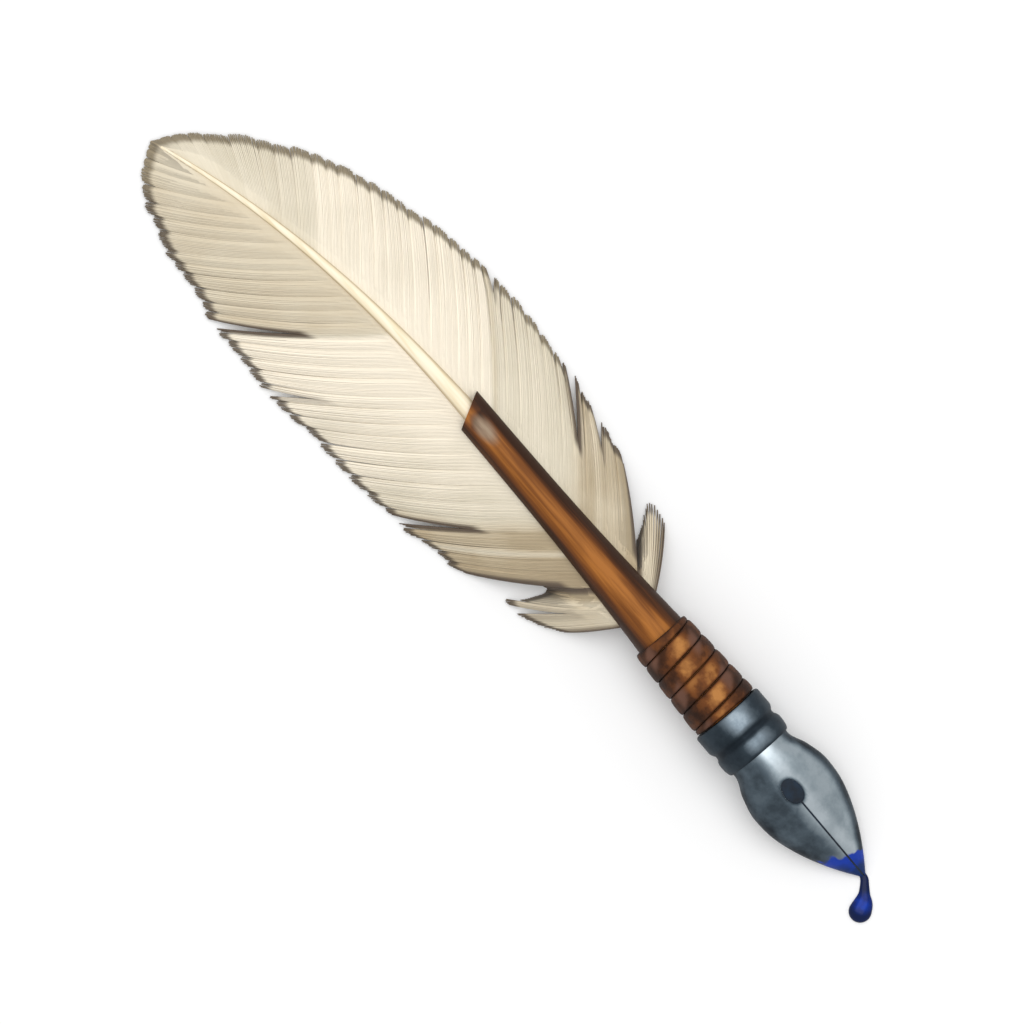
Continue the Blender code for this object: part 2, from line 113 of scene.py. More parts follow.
def add_node(tree, kind, inputs=(), **settings):
    """New node. An input is a value, or a socket or node to link from; settings are the node's properties."""
    made = tree.nodes.new(kind)
    for name, value in settings.items():
        setattr(made, name, value)
    for key, value in dict(inputs).items():
        if isinstance(value, bpy.types.Node):
            value = value.outputs[0]
        if isinstance(value, bpy.types.NodeSocket):
            tree.links.new(value, made.inputs[key])
        else:
            made.inputs[key].default_value = value
    return made


def maths(tree, operation, *values):
    return add_node(tree, "ShaderNodeMath", enumerate(values), operation=operation).outputs[0]


def stretch(tree, value, low, high, to_low=0.0, to_high=1.0, smooth=True):
    """Reads value between low and high as to_low to to_high, held at both ends, with soft ends if smooth."""
    kind = "SMOOTHSTEP" if smooth else "LINEAR"
    inputs = {"Value": value, "From Min": low, "From Max": high, "To Min": to_low, "To Max": to_high}
    return add_node(tree, "ShaderNodeMapRange", inputs, interpolation_type=kind).outputs[0]


# %% [markdown]
# ## Material helpers
#
# Every finish below is a Principled shader fed by nodes. Colours are written as the 0 to 255 values one reads
# off a screen, and turned into the linear values that the shader wants. Patterns read either Object
# coordinates, which are the same as world places here, or numbers stored on the mesh, called attributes.

# %% Helpers for materials


def linear(red, green, blue):
    """Screen colour, 0 to 255, as the linear colour of a shader."""
    share = [value / 255 for value in (red, green, blue)]
    return (*[s / 12.92 if s <= 0.04045 else ((s + 0.055) / 1.055) ** 2.4 for s in share], 1.0)


def new_finish(name, **constants):
    """Material with its Principled shader, whose unchanging values are set on its own sockets."""
    finish = bpy.data.materials.new(name)
    finish.use_nodes = True
    shader = finish.node_tree.nodes["Principled BSDF"]
    for key, value in constants.items():
        shader.inputs[key.replace("_", " ")].default_value = value
    return finish, finish.node_tree, shader


def wire(tree, shader, **sockets):
    """Links sockets of the tree to the shader's inputs."""
    for key, value in sockets.items():
        tree.links.new(value, shader.inputs[key.replace("_", " ")])


def attribute(tree, name):
    return add_node(tree, "ShaderNodeAttribute", attribute_name=name).outputs["Fac"]


def ramp(tree, value, *stops):
    """Colour ramp through stops of place, red, green and blue."""
    made = add_node(tree, "ShaderNodeValToRGB", {0: value})
    elements = made.color_ramp.elements
    while len(elements) < len(stops):
        elements.new(0.5)
    for element, (place, *screen) in zip(elements, stops):
        element.position = place
        element.color = linear(*screen)
    return made.outputs["Color"]


def blend_colour(tree, share, first, second):
    made = add_node(tree, "ShaderNodeMix", {0: share, 6: first, 7: second}, data_type="RGBA")
    return made.outputs[2]


def noise(tree, scale, stretched=(1, 1, 1), detail=3.0, roughness=0.5):
    """Noise on Object coordinates, 0 to 1, stretched by different scales along x, y and z."""
    where = add_node(tree, "ShaderNodeTexCoord").outputs["Object"]
    where = add_node(tree, "ShaderNodeMapping", {"Vector": where, "Scale": stretched})
    inputs = {"Vector": where, "Scale": scale, "Detail": detail, "Roughness": roughness}
    return add_node(tree, "ShaderNodeTexNoise", inputs).outputs["Fac"]


def spot(tree, centre, radii):
    """1 at a place in Object coordinates, falling softly to 0 at these radii along x, y and z."""
    where = add_node(tree, "ShaderNodeTexCoord").outputs["Object"]
    scale = Vector([1 / radius for radius in radii])
    where = add_node(tree, "ShaderNodeMapping", {"Vector": where, "Scale": scale, "Location": -centre * scale})
    away = add_node(tree, "ShaderNodeVectorMath", {0: where}, operation="LENGTH").outputs["Value"]
    return stretch(tree, away, 0.2, 1.0, 1.0, 0.0)


def bump(tree, height, strength, depth):
    inputs = {"Strength": strength, "Distance": depth, "Height": height}
    return add_node(tree, "ShaderNodeBump", inputs).outputs[0]


# %% [markdown]
# ## Mesh helpers
#
# A piece often follows a short table, such as a radius at a few places along the pen. `smooth_table` reads a
# curve through such rows. `sheet` places the points of a grid by a formula of two shares from 0 to 1, which
# suits the nib, the thong and the films of ink. `store` writes a number on every point for a material to read.

# %% Helpers for meshes


def row_slope(rows, column, i):
    """Slope of a table's curve at row i: level at a peak, and not so steep that it overshoots a row."""
    rises = [(after[column] - before[column]) / (after[0] - before[0]) for before, after in zip(rows, rows[1:])]
    rises = rises[max(0, i - 1):i + 1]
    if min(rises) * max(rises) <= 0:
        return 0.0
    middle = sum(rises) / len(rises)
    gentlest = min(rises, key=abs)
    return middle if abs(middle) < 3 * abs(gentlest) else 3 * gentlest


def smooth_table(rows, column, x):
    """Smooth curve through a table's rows, read at x: a cubic from each row to the next."""
    if x <= rows[0][0]:
        return rows[0][column]
    if x >= rows[-1][0]:
        return rows[-1][column]
    i = max(k for k, row in enumerate(rows) if row[0] <= x)
    step = rows[i + 1][0] - rows[i][0]
    t = (x - rows[i][0]) / step
    rise = t * t * (3 - 2 * t)
    leave = t * (1 - t) ** 2 * row_slope(rows, column, i) * step
    arrive = t * t * (t - 1) * row_slope(rows, column, i + 1) * step
    return rows[i][column] * (1 - rise) + rows[i + 1][column] * rise + leave + arrive


def from_mm(rows, lengths):
    """A table with its first columns turned from millimetres to metres."""
    return [(*[value * MM for value in row[:lengths]], *row[lengths:]) for row in rows]


def ease(t):
    """0 below 0, 1 above 1, and a smooth S between."""
    t = min(1.0, max(0.0, t))
    return t * t * (3 - 2 * t)


def modify(piece, name, kind, **settings):
    """New modifier with these settings."""
    made = piece.modifiers.new(name, kind)
    for key, value in settings.items():
        setattr(made, key, value)
    return made


def add_piece(name, mesh, finish=None):
    piece = bpy.data.objects.new(name, mesh)
    scene.collection.objects.link(piece)
    if finish:
        mesh.materials.append(finish)
    return piece


def add_shape(name, shape, finish=None):
    """New piece from a bmesh, which is used up."""
    mesh = bpy.data.meshes.new(name)
    shape.to_mesh(mesh)
    shape.free()
    return add_piece(name, mesh, finish)


def sheet(name, along, across, place, finish):
    """Grid of along by across cells, placed by a formula of two shares. Points that meet are welded."""
    shape = bmesh.new()
    bmesh.ops.create_grid(shape, x_segments=along, y_segments=across, size=0.5)
    for vert in shape.verts:
        vert.co = place(vert.co.x + 0.5, vert.co.y + 0.5)
    bmesh.ops.remove_doubles(shape, verts=shape.verts, dist=1e-6)
    return add_shape(name, shape, finish)


def settle(piece):
    """The piece's evaluated shape, with its modifiers and its place in the mesh, on an object at the origin."""
    bpy.context.view_layer.update()
    graph = bpy.context.evaluated_depsgraph_get()
    mesh = bpy.data.meshes.new_from_object(piece.evaluated_get(graph))
    mesh.transform(piece.matrix_world)
    mesh.name = piece.name
    made = bpy.data.objects.new(piece.name, mesh)
    scene.collection.objects.link(made)
    name = piece.name
    bpy.data.objects.remove(piece)
    made.name = name
    return made


def store(piece, name, formula):
    """Writes formula(point in the pen frame) on every point, under a name that a material can read."""
    values = [formula(vert.co) for vert in piece.data.vertices]
    piece.data.attributes.new(name, "FLOAT", "POINT").data.foreach_set("value", values)


def hand_over(piece, node, smooth=40):
    """Moves a finished piece from the pen frame to its place, to stand for its CAD node if it has one."""
    piece.data.transform(Matrix.Translation(pen_place))
    if smooth:
        piece.data.shade_smooth()
        piece.data.set_sharp_from_angle(angle=math.radians(smooth))
    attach(piece, "root")
    if node:
        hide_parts(node)
    piece.data.calc_loop_triangles()
    print(piece.name, "has", len(piece.data.loop_triangles), "triangles")


# %% [markdown]
# ## The feather's centre line
#
# The rachis is the feather's rib. It runs straight inside the shaft, then bends to the left and sinks to the
# surface at the tip. Two easy power curves give both bends. The barbs and the rib itself read this line.

# %% Rachis line
SHAFT_END = 143.4 * MM
QUILL_BASE = 66 * MM
QUILL_RADIUS = 2.2 * MM
RACHIS_TIP = 236 * MM
FEATHER_TIP = 240 * MM
BEND_START = 130 * MM
DROP_START = 140 * MM
TIP_SWEEP = 16 * MM
TIP_HEIGHT = 1.1 * MM
VANE_BASE = 79 * MM


def rachis_point(along):
    bend = max(0.0, (along - BEND_START) / (FEATHER_TIP - BEND_START))
    drop = max(0.0, (along - DROP_START) / (FEATHER_TIP - DROP_START))
    return Vector((along, TIP_SWEEP * bend ** 2.5, AXIS_Z - (AXIS_Z - TIP_HEIGHT) * drop ** 1.4))


print("rachis tip at", in_mm(*rachis_point(RACHIS_TIP)), "mm")

# %% [markdown]
# ## Barbs: the plan
#
# A vane is a comb of barbs. They leave the rachis at an angle, hook into each other and make a closed blade;
# where the hooks let go, the blade splits. A part needs real mesh, not hair curves, so each barb is one row of
# numbers: where it starts, how long it is, which way it leans, and how far its end is pushed aside by a split
# or by the pull of its lock. Geometry Nodes then turn the rows into thin closed ribbons.

# %% Barb tables: place along the pen and barb length in mm, angle in degrees
LEFT_BARBS = from_mm([
    (79, 20.5, 61),
    (81, 26.5, 56),
    (83, 30, 52),
    (84.6, 24.5, 51),
    (86.4, 20, 50),
    (89.35, 18.5, 50),
    (89.55, 34.8, 50),
    (98, 38.5, 50),
    (112, 42.5, 50),
    (130, 44.5, 50),
    (150, 45.5, 50),
    (166, 44, 50),
    (182, 39.5, 50),
    (195, 35.5, 49),
    (206, 30.8, 45),
    (216, 24.3, 39),
    (226, 14.8, 30),
    (236, 4.5, 19),
], lengths=2)
RIGHT_BARBS = from_mm([
    (79, 24.5, 54),
    (80.2, 27.5, 46),
    (81.4, 21, 42.5),
    (83.35, 17, 41),
    (83.55, 31.2, 41),
    (90, 34.5, 40.5),
    (100, 38, 40.5),
    (115, 41, 40.5),
    (130, 40.5, 40.5),
    (150, 37, 40.5),
    (165, 33.8, 40.5),
    (180, 29.4, 40.5),
    (195, 24.5, 38.5),
    (206, 20.5, 33.5),
    (216, 16.6, 21),
    (226, 11.8, 5),
    (236, 4.5, -19),
], lengths=2)

# %% Tones along each vane: place of the barb's root in mm, tone from 0 for dark tan to 1 for bright cream
# The tones are partly painted light and shade: groups of barbs that would lie turned from the light are darker
# tan, and the left vane's brightest stretch goes above 1 to make up for the lamp lighting it less.
LEFT_TONES = from_mm([
    (79, 0.3),
    (80.5, 0.5),
    (84, 0.5),
    (86.5, 0.2),
    (91, 0.18),
    (98, 0.24),
    (99.5, 0.62),
    (101.5, 0.3),
    (105, 0.26),
    (109, 0.54),
    (112, 0.72),
    (117, 0.84),
    (121, 0.92),
    (140, 0.93),
    (146, 0.98),
    (149, 1.04),
    (165, 1.06),
    (167.2, 0.9),
    (168.8, 0.5),
    (190, 0.54),
    (225, 0.54),
    (236, 0.5),
], lengths=1)
RIGHT_TONES = from_mm([
    (79, 0.3),
    (80, 0.5),
    (81.4, 0.5),
    (82.8, 0.15),
    (85, 0.16),
    (88, 0.3),
    (94, 0.36),
    (97, 0.44),
    (100, 0.3),
    (104, 0.36),
    (107, 0.62),
    (120, 0.68),
    (132.5, 0.7),
    (134.5, 0.45),
    (136.5, 0.96),
    (192, 0.98),
    (196, 0.78),
    (204, 0.72),
    (222, 0.78),
    (236, 0.5),
], lengths=1)

# %% Splits: where the barbs part, the share of the barb where it starts, how dark its lips are painted as shade and how widely
LEFT_SPLITS = [
    (82.2 * MM, 0.5, 0.3, 1.2 * MM),
    (89.4 * MM, 0.35, 1.0, 2.4 * MM),
    (107 * MM, 0.53, 1.0, 1.6 * MM),
    (146 * MM, 0.7, 0.35, 1.4 * MM),
    (168 * MM, 0.5, 1.0, 1.6 * MM),
]
RIGHT_SPLITS = [
    (83.4 * MM, 0.35, 1.0, 2.2 * MM),
    (94.5 * MM, 0.75, 0.6, 1.5 * MM),
    (104 * MM, 0.55, 1.0, 1.7 * MM),
    (133 * MM, 0.87, 0.5, 1.5 * MM),
]

# %% Rows for the barbs
BARB_PITCH = 0.42 * MM
DOWN_END = 90 * MM  # below this the barbs are downy and stand twice as close
LOCKS = 34
LOCK_ROUNDING = 0.03
LOCK_REACH_SPREAD = 0.035
LOCK_TONE_SPREAD = 0.04
LOCK_PULLS_MM = (0.02, 0.03, 0.05, 0.08, 0.16)
LOCK_RELIEF = 0.07 * MM
BARB_LEAN_SPREAD = 0.18  # degrees
BARB_PULL_SPREAD_MM = 0.03
BARB_TONE_SPREAD = 0.03
KERF_REACH = 6.6 * MM  # how far a barb runs level before it falls, in the saw cut and on the bare rachis
RACHIS_REACH = 2 * MM
KERF_FADE = 118 * MM
SPLIT_FAN = 1.0 * MM  # how far the barbs at a split are pushed aside, and along what stretch
SPLIT_STRETCH = 6 * MM
LEAST_FAN_LEAN = math.radians(20)
FOOT_EDGE = 0.9 * MM
FADE = 30 * MM
RIM_FADE = 12 * MM
LEFT_PALE_RIM = 212 * MM
RIGHT_PALE_RIM = 106 * MM
chance = random.Random(12)
widths = [chance.uniform(0.75, 1.25) for _ in range(LOCKS)]
lock_edges = np.cumsum([0] + widths) / sum(widths) * (RACHIS_TIP - VANE_BASE) + VANE_BASE


def either_way(size):
    return chance.uniform(-size, size)


def barb_rows(side, barbs, tones, splits, pale_rim):
    """One row for each barb of a vane. side is 1 for the left vane and -1 for the right."""
    rows = []
    lock_reach = [1 + either_way(0.5) * LOCK_REACH_SPREAD for _ in range(LOCKS)]
    lock_tone = [either_way(LOCK_TONE_SPREAD) for _ in range(LOCKS)]
    lock_pull = [chance.choice(LOCK_PULLS_MM) * MM for _ in range(LOCKS)]
    places = [*np.arange(VANE_BASE, DOWN_END, BARB_PITCH / 2), *np.arange(DOWN_END, RACHIS_TIP, BARB_PITCH)]
    for place in places:
        lock = min(LOCKS - 1, int(np.searchsorted(lock_edges, place, side="right")) - 1)
        low, high = lock_edges[lock], lock_edges[lock + 1]
        in_lock = (place - low) / (high - low) * 2 - 1
        reach = smooth_table(barbs, 1, place) * lock_reach[lock]
        reach *= 1 - LOCK_ROUNDING * in_lock ** 4 + chance.uniform(-0.008, 0.004)
        lean = math.radians(smooth_table(barbs, 2, place) + either_way(BARB_LEAN_SPREAD))
        pull = -in_lock * lock_pull[lock] + either_way(BARB_PULL_SPREAD_MM) * MM
        part, part_from, dark, dark_from = 0.0, 0.9, 0.0, 0.0
        for split_at, start, darkness, dark_width in splits:
            apart = place - split_at
            if abs(apart) < SPLIT_STRETCH:
                part = math.copysign(SPLIT_FAN * (1 - abs(apart) / SPLIT_STRETCH), apart)
                part_from = start
            # The dark lips of a split are painted shade for the gap between the barbs.
            if abs(apart) < dark_width:
                dark, dark_from = darkness * (1 - (abs(apart) / dark_width) ** 3), start
        if place < VANE_BASE + FOOT_EDGE:
            dark, dark_from = 1 - (place - VANE_BASE) / FOOT_EDGE, 0.15
        reach += part / math.tan(lean) if lean > LEAST_FAN_LEAN else 0
        flat = KERF_REACH + (RACHIS_REACH - KERF_REACH) * ease((place - KERF_FADE) / FADE)
        rows.append({
            "root": rachis_point(place),
            "reach": reach,
            "lean": side * lean,
            "side": side,
            "pull": side * pull,
            "part": side * part,
            "part_from": part_from,
            "level": min(0.5, flat / (reach * max(0.3, abs(math.sin(lean))))),
            "relief": (1 - 2 * in_lock ** 2) * LOCK_RELIEF * ease((RACHIS_TIP - place) / FADE),
            "tone": smooth_table(tones, 1, place) + lock_tone[lock] + either_way(BARB_TONE_SPREAD),
            "pale_rim": ease(0.5 + (place - pale_rim) / RIM_FADE),
            "dark": dark,
            "dark_from": dark_from,
        })
    return rows


left_rows = barb_rows(1, LEFT_BARBS, LEFT_TONES, LEFT_SPLITS, LEFT_PALE_RIM)
right_rows = barb_rows(-1, RIGHT_BARBS, RIGHT_TONES, RIGHT_SPLITS, RIGHT_PALE_RIM)
print(len(left_rows), "barbs in the left vane and", len(right_rows), "in the right")

# %% [markdown]
# ## Barbs: the Geometry Nodes tree
#
# The tree puts a short line on every row, turns the lines into curves of their own, and bends each by the
# numbers of its row. The formula is the one that the solid vanes follow: out along a slightly curled line,
# level near the rib and then down to the surface. A flat four-sided profile gives the ribbon its section, and
# a tilt lays the ribbons over each other like slates, so that the blade is closed and still shows its lines.

# %% Tree that grows ribbons from rows


def group_inputs(tree, *inputs):
    """Declares a tree's inputs, (name, socket type, default value), and its geometry output."""
    for name, kind, value in inputs:
        made = tree.interface.new_socket(name, in_out="INPUT", socket_type=kind)
        if value is not None:
            made.default_value = value
    tree.interface.new_socket("Geometry", in_out="OUTPUT", socket_type="NodeSocketGeometry")
    return add_node(tree, "NodeGroupInput").outputs


def named(tree, name, kind="FLOAT"):
    made = add_node(tree, "GeometryNodeInputNamedAttribute", {"Name": name}, data_type=kind)
    return made.outputs["Attribute"]


def sweep(tree, curves, profile, scale, finish):
    """Sweeps a profile along curves into closed mesh with this finish, and makes it the tree's result."""
    made = add_node(
        tree, "GeometryNodeCurveToMesh",
        {"Curve": curves, "Profile Curve": profile, "Scale": scale, "Fill Caps": True})
    made = add_node(tree, "GeometryNodeRealizeInstances", {"Geometry": made})
    made = add_node(tree, "GeometryNodeSetMaterial", {"Geometry": made, "Material": finish})
    add_node(tree, "NodeGroupOutput", {0: made})


def grow_barbs():
    tree = bpy.data.node_groups.new("grow barbs", "GeometryNodeTree")
    given = group_inputs(
        tree,
        ("Rows", "NodeSocketGeometry", None),
        ("Segments", "NodeSocketInt", 13),
        ("Width", "NodeSocketFloat", 0.52 * MM),
        ("Thickness", "NodeSocketFloat", 0.1 * MM),
        ("Overlap", "NodeSocketFloat", 0.15),
        ("Curl", "NodeSocketFloat", 0.14),
        ("Camber", "NodeSocketFloat", 1.35),
        ("Edge Height", "NodeSocketFloat", 0.62 * MM),
        ("Finish", "NodeSocketMaterial", None),
    )
    line = add_node(tree, "GeometryNodeCurvePrimitiveLine", {"Start": (0, 0, 0), "End": (1, 0, 0)})
    points = maths(tree, "ADD", given["Segments"], 1)
    line = add_node(tree, "GeometryNodeResampleCurve", {"Curve": line, "Count": points})
    factor = add_node(tree, "GeometryNodeSplineParameter").outputs["Factor"]
    line = add_node(
        tree, "GeometryNodeStoreNamedAttribute",
        {"Geometry": line, "Name": "share", "Value": factor}, domain="POINT", data_type="FLOAT")
    barbs = add_node(tree, "GeometryNodeInstanceOnPoints", {"Points": given["Rows"], "Instance": line})
    barbs = add_node(tree, "GeometryNodeRealizeInstances", {"Geometry": barbs})

    share, reach = named(tree, "share"), named(tree, "reach")
    side = named(tree, "side")
    bend = maths(tree, "MULTIPLY", given["Curl"], maths(tree, "SUBTRACT", share, 0.5))
    angle = maths(tree, "MULTIPLY", named(tree, "lean"), maths(tree, "SUBTRACT", 1, bend))
    out = maths(tree, "MULTIPLY", reach, share)
    pulled = maths(tree, "MULTIPLY", named(tree, "pull"), stretch(tree, share, 0.6, 1.0))
    parting = stretch(tree, share, named(tree, "part_from"), 1.0, smooth=False)
    aside = maths(tree, "ADD", pulled, maths(tree, "MULTIPLY", named(tree, "part"), parting))
    sine, cosine = maths(tree, "SINE", angle), maths(tree, "COSINE", angle)
    x = maths(tree, "ADD", maths(tree, "MULTIPLY", out, cosine), maths(tree, "MULTIPLY", aside, sine))
    y = maths(tree, "SUBTRACT", maths(tree, "MULTIPLY", out, sine), maths(tree, "MULTIPLY", aside, cosine))

    level = named(tree, "level")
    fall = maths(tree, "DIVIDE", maths(tree, "SUBTRACT", share, level), maths(tree, "SUBTRACT", 1, level))
    fall = maths(tree, "MAXIMUM", fall, 0)
    root = named(tree, "root", "FLOAT_VECTOR")
    root_height = add_node(tree, "ShaderNodeSeparateXYZ", {0: root}).outputs["Z"]
    drop = maths(tree, "SUBTRACT", given["Edge Height"], root_height)
    drop = maths(tree, "MULTIPLY", drop, maths(tree, "POWER", fall, given["Camber"]))
    raised = stretch(tree, maths(tree, "MULTIPLY", fall, reach), 0, 6 * MM)
    height = maths(tree, "ADD", drop, maths(tree, "MULTIPLY", named(tree, "relief"), raised))
    place = add_node(tree, "ShaderNodeCombineXYZ", {"X": x, "Y": y, "Z": height})
    place = add_node(tree, "ShaderNodeVectorMath", {0: root, 1: place}, operation="ADD")
    barbs = add_node(tree, "GeometryNodeSetPosition", {"Geometry": barbs, "Position": place})

    barbs = add_node(tree, "GeometryNodeSetCurveNormal", {"Curve": barbs}, mode="Z_UP")
    tilt = maths(tree, "MULTIPLY", given["Overlap"], side)
    barbs = add_node(tree, "GeometryNodeSetCurveTilt", {"Curve": barbs, "Tilt": tilt})
    slim = maths(tree, "SUBTRACT", 1, maths(tree, "MULTIPLY", 0.5, maths(tree, "POWER", share, 12)))
    barbs = add_node(tree, "GeometryNodeSetCurveRadius", {"Curve": barbs, "Radius": slim})
    profile = add_node(tree, "GeometryNodeCurvePrimitiveCircle", {"Resolution": 4, "Radius": 0.5})
    size = add_node(tree, "ShaderNodeCombineXYZ", {"X": given["Width"], "Y": given["Thickness"], "Z": 1.0})
    profile = add_node(tree, "GeometryNodeTransform", {"Geometry": profile, "Scale": size})
    sweep(tree, barbs, profile, add_node(tree, "GeometryNodeInputRadius"), given["Finish"])
    return tree


def rows_mesh(name, rows):
    """Loose points that carry every number of their row."""
    mesh = bpy.data.meshes.new(name)
    mesh.from_pydata([row["root"] for row in rows], [], [])
    for key in rows[0]:
        if key == "root":
            made = mesh.attributes.new(key, "FLOAT_VECTOR", "POINT")
            made.data.foreach_set("vector", [value for row in rows for value in row[key]])
        else:
            made = mesh.attributes.new(key, "FLOAT", "POINT")
            made.data.foreach_set("value", [row[key] for row in rows])
    return mesh


def run_tree(piece, tree, **values):
    """Runs the tree on the piece, its inputs set by their identifiers, and makes the result a plain mesh."""
    modifier = modify(piece, tree.name, "NODES", node_group=tree)
    for item in tree.interface.items_tree:
        key = item.name.replace(" ", "_")
        if item.in_out == "INPUT" and key in values:
            modifier[item.identifier] = values[key]
    return settle(piece)


barb_tree = grow_barbs()
print("the barb tree has", len(barb_tree.nodes), "nodes")

# %% [markdown]
# ## Finish of the vanes
#
# A goose feather is cream with tan shading, and its margins and split lips are darker. The tone stored on
# each barb picks a colour from a ramp; its tan zones are partly painted shade, and it is painted darker beside
# the rib. The margin darkens by the distance to the barb's end, and the split lips, as painted shade in the
# gaps, by the share from which they open. Fine noise keeps neighbouring barbs from matching exactly.

# %% Vane finish
BARBULE_PITCH = 0.35 * MM
vane_finish, tree, shader = new_finish("feather vane", Roughness=0.62, Sheen_Weight=0.15, Sheen_Roughness=0.4)
share, tone = attribute(tree, "share"), attribute(tree, "tone")
from_end = maths(tree, "MULTIPLY", maths(tree, "SUBTRACT", 1, share), attribute(tree, "reach"))
streak = noise(tree, 60, detail=4)
tone = maths(tree, "ADD", tone, stretch(tree, streak, 0.3, 0.7, -0.07, 0.07))
# Painted shade: the barbs are darker tan where they leave the rib.
rib_shade = stretch(tree, share, 0.0, 0.07, 0.16, 0.0)
tone = maths(tree, "SUBTRACT", tone, rib_shade)
colour = ramp(
    tree, tone,
    (0.0, 166, 146, 115),
    (0.25, 190, 172, 140),
    (0.45, 218, 204, 177),
    (0.7, 230, 220, 197),
    (1.0, 254, 243, 222),
)
margin = stretch(tree, from_end, 1.4 * MM, 3.2 * MM, 0.92, 0.0)
rim = blend_colour(tree, attribute(tree, "pale_rim"), linear(90, 76, 60), linear(140, 126, 100))
colour = blend_colour(tree, margin, colour, rim)
# Painted shade: the lips of each split are darkened, standing in for the shadow in the gap.
opens = maths(tree, "SUBTRACT", attribute(tree, "dark_from"), 0.06)
split = stretch(tree, maths(tree, "SUBTRACT", share, opens), 0.0, 0.08)
split = maths(tree, "MULTIPLY", split, attribute(tree, "dark"))
colour = blend_colour(tree, split, colour, linear(96, 80, 64))
hatch = maths(tree, "SINE", maths(tree, "MULTIPLY", from_end, math.tau / BARBULE_PITCH))
wire(tree, shader, Base_Color=colour, Normal=bump(tree, hatch, 0.15, 0.02 * MM))

# %% Grow both vanes
for name, rows in (("vane_left", left_rows), ("vane_right", right_rows)):
    vane = run_tree(add_piece(name, rows_mesh(name, rows)), barb_tree, Finish=vane_finish)
    hand_over(vane, "feather", smooth=0)

# %% [markdown]
# ## Rachis
#
# The rib is horn: pale, smooth and round on top, with a faint tan line of painted shade along each flank. One
# tube that gets thinner from the shaft to the tip does it, made with the same trick as the barbs: points that
# carry a radius.

# %% Rachis finish
rib_finish, tree, shader = new_finish("quill horn", Roughness=0.38, Coat_Weight=0.15, Coat_Roughness=0.3)
grain = noise(tree, 900, (0.04, 1, 1), detail=2)
colour = ramp(
    tree, grain,
    (0.3, 236, 219, 182),
    (0.6, 249, 237, 210),
)
# Painted shade: tan on the flanks of the round rib.
flank = stretch(tree, attribute(tree, "flank"), 0.55, 0.95)
colour = blend_colour(tree, flank, colour, linear(190, 170, 134))
wire(tree, shader, Base_Color=colour, Normal=bump(tree, grain, 0.2, 0.03 * MM))

# %% Tube along the rachis line
RACHIS_TIP_RADIUS = 0.45 * MM


def rachis_radius(along):
    taper = max(0.0, (along - SHAFT_END) / (RACHIS_TIP - SHAFT_END))
    return QUILL_RADIUS + (RACHIS_TIP_RADIUS - QUILL_RADIUS) * min(1, taper) ** 0.85


def sweep_tube():
    tree = bpy.data.node_groups.new("sweep tube", "GeometryNodeTree")
    given = group_inputs(
        tree,
        ("Path", "NodeSocketGeometry", None),
        ("Sides", "NodeSocketInt", 24),
        ("Finish", "NodeSocketMaterial", None),
    )
    path = add_node(tree, "GeometryNodeMeshToCurve", {"Mesh": given["Path"]})
    path = add_node(tree, "GeometryNodeSetCurveNormal", {"Curve": path}, mode="Z_UP")
    ring = add_node(tree, "GeometryNodeCurvePrimitiveCircle", {"Resolution": given["Sides"], "Radius": 1.0})
    sweep(tree, path, ring, named(tree, "thick"), given["Finish"])
    return tree


stations = [QUILL_BASE, SHAFT_END - 2 * MM, *np.linspace(SHAFT_END, RACHIS_TIP + 1.5 * MM, 90)]
edges = [(i, i + 1) for i in range(len(stations) - 1)]
line = bpy.data.meshes.new("rachis line")
line.from_pydata([rachis_point(along) for along in stations], edges, [])
thick = line.attributes.new("thick", "FLOAT", "POINT")
thick.data.foreach_set("value", [rachis_radius(along) for along in stations])
rachis = run_tree(add_piece("rachis", line), sweep_tube(), Finish=rib_finish)
# flank runs from 0 along the rib's middle to 1 at its sides, where the finish paints shade.
store(rachis, "flank", lambda co: min(1.0, abs(co.y - rachis_point(co.x).y) / rachis_radius(co.x)))
hand_over(rachis, "feather")

# %% [markdown]
# ## Wooden shaft
#
# The shaft is turned: a short spigot for the ferrule, then a long taper. It is bored for the quill and sawn
# along both sides for the vanes, and its end is cut on a slant with a pale spot on top. Turning is a
# profile with a Screw modifier; the bore, the saw cuts and the end are Boolean cuts with plain solids.
# Over its grain the wood is painted lighter along the top and darker down the flanks and underneath: painted
# highlight and painted shade on the round shaft.

# %% Wood finish
wood_finish, tree, shader = new_finish("turned wood", Roughness=0.5, Specular_IOR_Level=0.15)
fibre = noise(tree, 420, (0.035, 1, 1), detail=5, roughness=0.6)
broad = noise(tree, 70, (0.25, 1, 1), detail=3)
flank = attribute(tree, "flank")
# Painted light: lighter along the top and darker down the flanks and underside of the round shaft, over the
# grain.
shade = stretch(tree, flank, 0.25, 0.85, 0.85, 0.0)
shade = maths(tree, "ADD", shade, stretch(tree, fibre, 0.3, 0.7, -0.28, 0.28))
shade = maths(tree, "ADD", shade, stretch(tree, broad, 0.3, 0.7, -0.2, 0.2))
colour = ramp(
    tree, shade,
    (0.0, 50, 27, 12),
    (0.35, 90, 50, 21),
    (0.65, 122, 71, 27),
    (1.0, 166, 104, 44),
)
# A pale spot on top, near the slanted end, broken by the fibre.
pale_spot_place = pen_place + Vector((137.4 * MM, 0.1 * MM, AXIS_Z + 3.4 * MM))
pale_spot = spot(tree, pale_spot_place, (5.5 * MM, 2.6 * MM, 4 * MM))
pale_spot = maths(tree, "MULTIPLY", pale_spot, stretch(tree, fibre, 0.3, 0.55, 0.45, 1.0))
colour = blend_colour(tree, pale_spot, colour, linear(158, 138, 116))
wire(tree, shader, Base_Color=colour, Normal=bump(tree, fibre, 0.35, 0.06 * MM))

